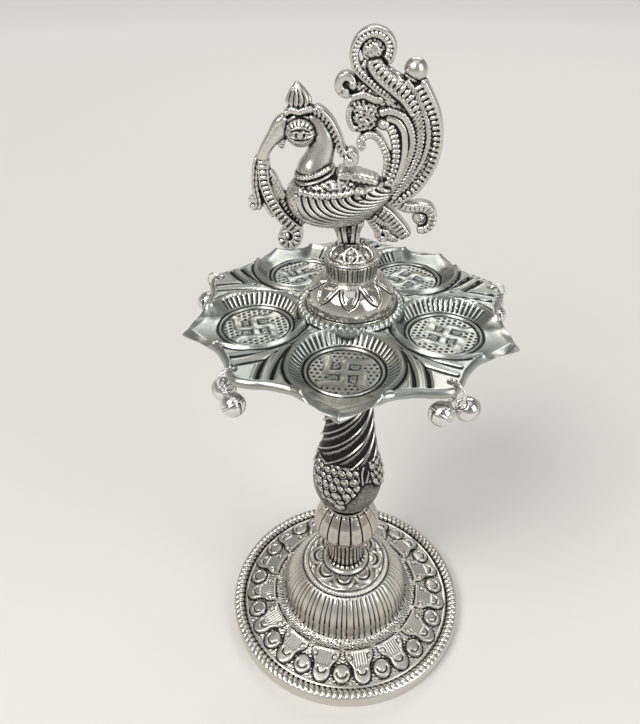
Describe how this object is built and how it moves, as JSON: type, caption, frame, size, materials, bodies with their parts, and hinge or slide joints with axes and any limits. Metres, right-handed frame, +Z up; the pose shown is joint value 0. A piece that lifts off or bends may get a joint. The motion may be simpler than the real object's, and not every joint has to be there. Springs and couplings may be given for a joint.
{
  "type": "standing oil lamp",
  "caption": "Standing oil lamp in oxidised cast metal: round lotus base, turned stem, petal-shaped tray of wick cups with hanging rattle bells, and a peacock finial.",
  "frame": {"origin": "on the table under the middle of the base", "axes": "+Z up along the stem, the front wick spout points to -Y and the peacock looks to -X"},
  "size_m": [0.0908, 0.0935, 0.204],
  "materials": {
    "oxidised_cast": "oxidised, rubbed bright on the high points",
    "polished_cast": "polished",
    "bright_plate": "bright plated",
    "steel": "plain"
  },
  "bodies": {
    "lamp": {"base": "oxidised_cast", "stem_foot": "polished_cast", "stem_baluster": "oxidised_cast", "tray": "oxidised_cast", "hub_dome": "polished_cast", "finial_collar": "polished_cast", "peacock": "oxidised_cast", "tie_rod": "steel", "base_washer": "steel", "base_nut": "steel"},
    "ring_1": {"ring_1": "bright_plate"},
    "bell_1a": {"bell_1a": "bright_plate"},
    "pellet_1a": {"pellet_1a": "steel"},
    "bell_1b": {"bell_1b": "bright_plate"},
    "pellet_1b": {"pellet_1b": "steel"},
    "ring_2": {"ring_2": "bright_plate"},
    "bell_2a": {"bell_2a": "bright_plate"},
    "pellet_2a": {"pellet_2a": "steel"},
    "bell_2b": {"bell_2b": "bright_plate"},
    "pellet_2b": {"pellet_2b": "steel"},
    "ring_3": {"ring_3": "bright_plate"},
    "bell_3a": {"bell_3a": "bright_plate"},
    "pellet_3a": {"pellet_3a": "steel"},
    "bell_3b": {"bell_3b": "bright_plate"},
    "pellet_3b": {"pellet_3b": "steel"},
    "ring_4": {"ring_4": "bright_plate"},
    "bell_4a": {"bell_4a": "bright_plate"},
    "pellet_4a": {"pellet_4a": "steel"},
    "bell_4b": {"bell_4b": "bright_plate"},
    "pellet_4b": {"pellet_4b": "steel"},
    "ring_5": {"ring_5": "bright_plate"},
    "bell_5a": {"bell_5a": "bright_plate"},
    "pellet_5a": {"pellet_5a": "steel"},
    "bell_5b": {"bell_5b": "bright_plate"},
    "pellet_5b": {"pellet_5b": "steel"}
  },
  "joints": [
    {"name": "ring_1_swing", "type": "hinge", "parent": "lamp", "child": "ring_1", "pos_m": [0.02663, -0.03408, 0.1334], "axis": [-0.788, -0.6157, 0], "range_deg": [-10, 45]},
    {"name": "bell_1a_swing", "type": "hinge", "parent": "ring_1", "child": "bell_1a", "pos_m": [0.02595, -0.03322, 0.1304], "axis": [-0.6157, 0.788, 0], "range_deg": [0, 20]},
    {"name": "pellet_1a_rattle", "type": "slide", "parent": "bell_1a", "child": "pellet_1a", "axis": [0, 0, 1], "range_m": [0, 0.0034]},
    {"name": "bell_1b_swing", "type": "hinge", "parent": "ring_1", "child": "bell_1b", "pos_m": [0.0273, -0.03495, 0.1304], "axis": [0.6157, -0.788, 0], "range_deg": [0, 20]},
    {"name": "pellet_1b_rattle", "type": "slide", "parent": "bell_1b", "child": "pellet_1b", "axis": [0, 0, 1], "range_m": [0, 0.0034]},
    {"name": "ring_2_swing", "type": "hinge", "parent": "lamp", "child": "ring_2", "pos_m": [0.04113, 0.01337, 0.1334], "axis": [0.309, -0.9511, 0], "range_deg": [-10, 45]},
    {"name": "bell_2a_swing", "type": "hinge", "parent": "ring_2", "child": "bell_2a", "pos_m": [0.04009, 0.01303, 0.1304], "axis": [-0.9511, -0.309, 0], "range_deg": [0, 20]},
    {"name": "pellet_2a_rattle", "type": "slide", "parent": "bell_2a", "child": "pellet_2a", "axis": [0, 0, 1], "range_m": [0, 0.0034]},
    {"name": "bell_2b_swing", "type": "hinge", "parent": "ring_2", "child": "bell_2b", "pos_m": [0.04218, 0.01371, 0.1304], "axis": [0.9511, 0.309, 0], "range_deg": [0, 20]},
    {"name": "pellet_2b_rattle", "type": "slide", "parent": "bell_2b", "child": "pellet_2b", "axis": [0, 0, 1], "range_m": [0, 0.0034]},
    {"name": "ring_3_swing", "type": "hinge", "parent": "lamp", "child": "ring_3", "pos_m": [0, 0.04325, 0.1334], "axis": [1, 0, 0], "range_deg": [-10, 45]},
    {"name": "bell_3a_swing", "type": "hinge", "parent": "ring_3", "child": "bell_3a", "pos_m": [0, 0.04215, 0.1304], "axis": [0, -1, 0], "range_deg": [0, 20]},
    {"name": "pellet_3a_rattle", "type": "slide", "parent": "bell_3a", "child": "pellet_3a", "axis": [0, 0, 1], "range_m": [0, 0.0034]},
    {"name": "bell_3b_swing", "type": "hinge", "parent": "ring_3", "child": "bell_3b", "pos_m": [0, 0.04435, 0.1304], "axis": [0, 1, 0], "range_deg": [0, 20]},
    {"name": "pellet_3b_rattle", "type": "slide", "parent": "bell_3b", "child": "pellet_3b", "axis": [0, 0, 1], "range_m": [0, 0.0034]},
    {"name": "ring_4_swing", "type": "hinge", "parent": "lamp", "child": "ring_4", "pos_m": [-0.04113, 0.01337, 0.1334], "axis": [0.309, 0.9511, 0], "range_deg": [-10, 45]},
    {"name": "bell_4a_swing", "type": "hinge", "parent": "ring_4", "child": "bell_4a", "pos_m": [-0.04009, 0.01303, 0.1304], "axis": [0.9511, -0.309, 0], "range_deg": [0, 20]},
    {"name": "pellet_4a_rattle", "type": "slide", "parent": "bell_4a", "child": "pellet_4a", "axis": [0, 0, 1], "range_m": [0, 0.0034]},
    {"name": "bell_4b_swing", "type": "hinge", "parent": "ring_4", "child": "bell_4b", "pos_m": [-0.04218, 0.01371, 0.1304], "axis": [-0.9511, 0.309, 0], "range_deg": [0, 20]},
    {"name": "pellet_4b_rattle", "type": "slide", "parent": "bell_4b", "child": "pellet_4b", "axis": [0, 0, 1], "range_m": [0, 0.0034]},
    {"name": "ring_5_swing", "type": "hinge", "parent": "lamp", "child": "ring_5", "pos_m": [-0.0278, -0.03313, 0.1334], "axis": [-0.766, 0.6428, 0], "range_deg": [-10, 45]},
    {"name": "bell_5a_swing", "type": "hinge", "parent": "ring_5", "child": "bell_5a", "pos_m": [-0.02709, -0.03229, 0.1304], "axis": [0.6428, 0.766, 0], "range_deg": [0, 20]},
    {"name": "pellet_5a_rattle", "type": "slide", "parent": "bell_5a", "child": "pellet_5a", "axis": [0, 0, 1], "range_m": [0, 0.0034]},
    {"name": "bell_5b_swing", "type": "hinge", "parent": "ring_5", "child": "bell_5b", "pos_m": [-0.02851, -0.03397, 0.1304], "axis": [-0.6428, -0.766, 0], "range_deg": [0, 20]},
    {"name": "pellet_5b_rattle", "type": "slide", "parent": "bell_5b", "child": "pellet_5b", "axis": [0, 0, 1], "range_m": [0, 0.0034]}
  ]
}
